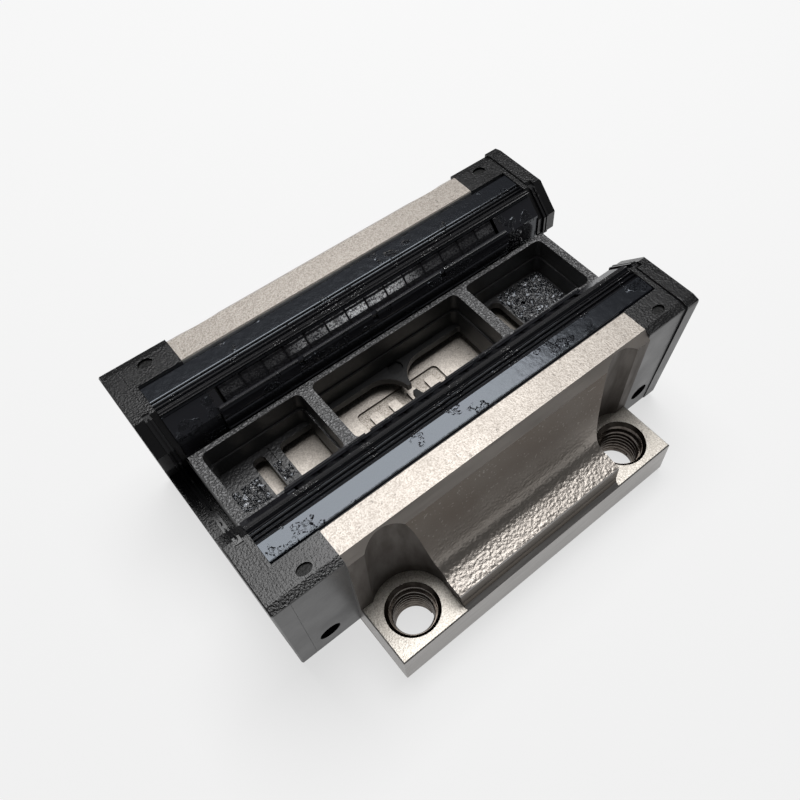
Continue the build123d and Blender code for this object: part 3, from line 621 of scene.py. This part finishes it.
def roller_film(name, body, side, material):
    """Grease over a face row that dips between its rollers; side is +1 rear, -1 front."""
    rows = FILM_ROWS
    columns = int(2 * FILM_END / FILM_STEP)
    points, faces = [], []
    for i in range(columns + 1):
        x = FILM_END * (2 * i / columns - 1)
        off_gap = abs(((x - ROW_START) / ROLLER_PITCH) % 1 - 0.5) * ROLLER_PITCH
        for j in range(rows + 1):
            along = -FILM_HALF_WIDTH + 2 * FILM_HALF_WIDTH * j / rows
            dip = FILM_DIP * math.exp(-(off_gap / FILM_DIP_WIDTH) ** 2)
            ripple = FILM_RIPPLE * drift(x, along, FILM_RIPPLE_GRAIN, FILM_SEED)
            across = FILM_HEIGHT - dip + ripple
            y, z = row_point(along, across)
            points.append((x, side * y, z))
    for i in range(columns):
        for j in range(rows):
            a = i * (rows + 1) + j
            faces.append((a, a + 1, a + rows + 2, a + rows + 1))
    piece(name, points, faces, material, body)


# grease in the arbor: x span, y span, z, depth, seed and fill
SMEARS = {
    "left_end": ((-60.5, -51.2), (-10.5, 4.0), 27.0, 0.8, 1.5, 0.45),
    "left_bar": ((-46.4, -42.0), (-10.5, 5.0), 27.0, 0.8, 4.5, 0.2),
    "right": ((42.0, 60.5), (-10.5, 10.5), 27.0, 1.1, 7.5, 0.65),
}


def add_grease():
    """The film over the face rows, and the smears in the arbor's end pockets."""
    # the rear film carries the rollers' painted highlight; the front film is painted black, as
    # painted shade
    for leg, side, highlit in (("rear", 1, 1.0), ("front", -1, 0.0)):
        film = polished_steel("roller_film_" + leg, highlit)
        roller_film("roller_film_" + leg, leg + "_face_load_rollers", side, film)
    smear = grease()
    for name, sizes in SMEARS.items():
        grease_patch("grease_" + name, smear, *sizes)


# ---- camera, floor and light ---------------------------------------------------------------
def look_along(place, forward, up):
    """A matrix at place whose -Z looks along forward."""
    forward, up = Vector(forward).normalized(), Vector(up).normalized()
    right = forward.cross(up).normalized()
    up = right.cross(forward)
    axes = Matrix((right, up, -forward)).transposed()
    return Matrix.Translation(place) @ axes.to_4x4()


CAMERA_PLACE = (-0.0714, -0.1106, 0.2117)
CAMERA_FORWARD, CAMERA_UP = (0.333, 0.412, -0.848), (0.55, 0.645, 0.53)
SENSOR_WIDTH, LENS = 36.0, 34.07
SHIFT_X, SHIFT_Y = -0.075, 0.0375


def add_camera():
    data = bpy.data.cameras.new("camera")
    data.sensor_width = SENSOR_WIDTH
    data.lens = LENS
    data.shift_x = SHIFT_X
    data.shift_y = SHIFT_Y
    data.clip_start = 5 * MM
    camera = bpy.data.objects.new("camera", data)
    camera.matrix_world = look_along(CAMERA_PLACE, CAMERA_FORWARD, CAMERA_UP)
    bpy.context.scene.collection.objects.link(camera)
    bpy.context.scene.camera = camera


FLOOR_HALF = 3.0
FLOOR_DROP = 0.0002            # below the object, so that the two don't share a plane


def add_floor():
    """A grey floor that glows a little, so that it fades into the white background."""
    mesh = bpy.data.meshes.new("floor")
    half = FLOOR_HALF
    corners = [(-half, -half, 0), (half, -half, 0), (half, half, 0), (-half, half, 0)]
    mesh.from_pydata(corners, [], [(0, 1, 2, 3)])
    floor = bpy.data.objects.new("floor", mesh)
    bpy.context.scene.collection.objects.link(floor)
    floor.location.z = -FLOOR_DROP
    lit = {"Emission_Color": (1.0, 1.0, 1.0, 1.0), "Emission_Strength": 0.66}
    mesh.materials.append(Shader("floor", (0.26, 0.26, 0.26), 0.9, **lit).material)


SOFTBOX_PLACE = (0.225, 0.30, 1.03)
SOFTBOX_WIDTH, SOFTBOX_DEPTH, SOFTBOX_WATTS = 0.75, 0.8, 11.5
SKY_STRENGTH = 0.12


def add_softbox():
    """One large lamp that hangs over the rear right corner and shines straight down."""
    data = bpy.data.lights.new("softbox", "AREA")
    data.shape = "RECTANGLE"
    data.size, data.size_y = SOFTBOX_WIDTH, SOFTBOX_DEPTH
    data.energy = SOFTBOX_WATTS
    light = bpy.data.objects.new("softbox", data)
    light.matrix_world = look_along(SOFTBOX_PLACE, (0, 0, -1), (0, 1, 0.01))
    bpy.context.scene.collection.objects.link(light)


def add_sky():
    scene = bpy.context.scene
    scene.view_settings.view_transform = "Standard"
    world = bpy.data.worlds.new("studio")
    scene.world = world
    world.use_nodes = True
    sky = world.node_tree.nodes["Background"]
    sky.inputs["Color"].default_value = (1.0, 1.0, 1.0, 1.0)
    sky.inputs["Strength"].default_value = SKY_STRENGTH


paint_body()
paint_caps()
paint_seals_and_retainers()
paint_small_parts()
paint_arbor()
add_threads()
add_lips()
add_tongues()
add_grease()
add_floor()
add_camera()
add_sky()
add_softbox()
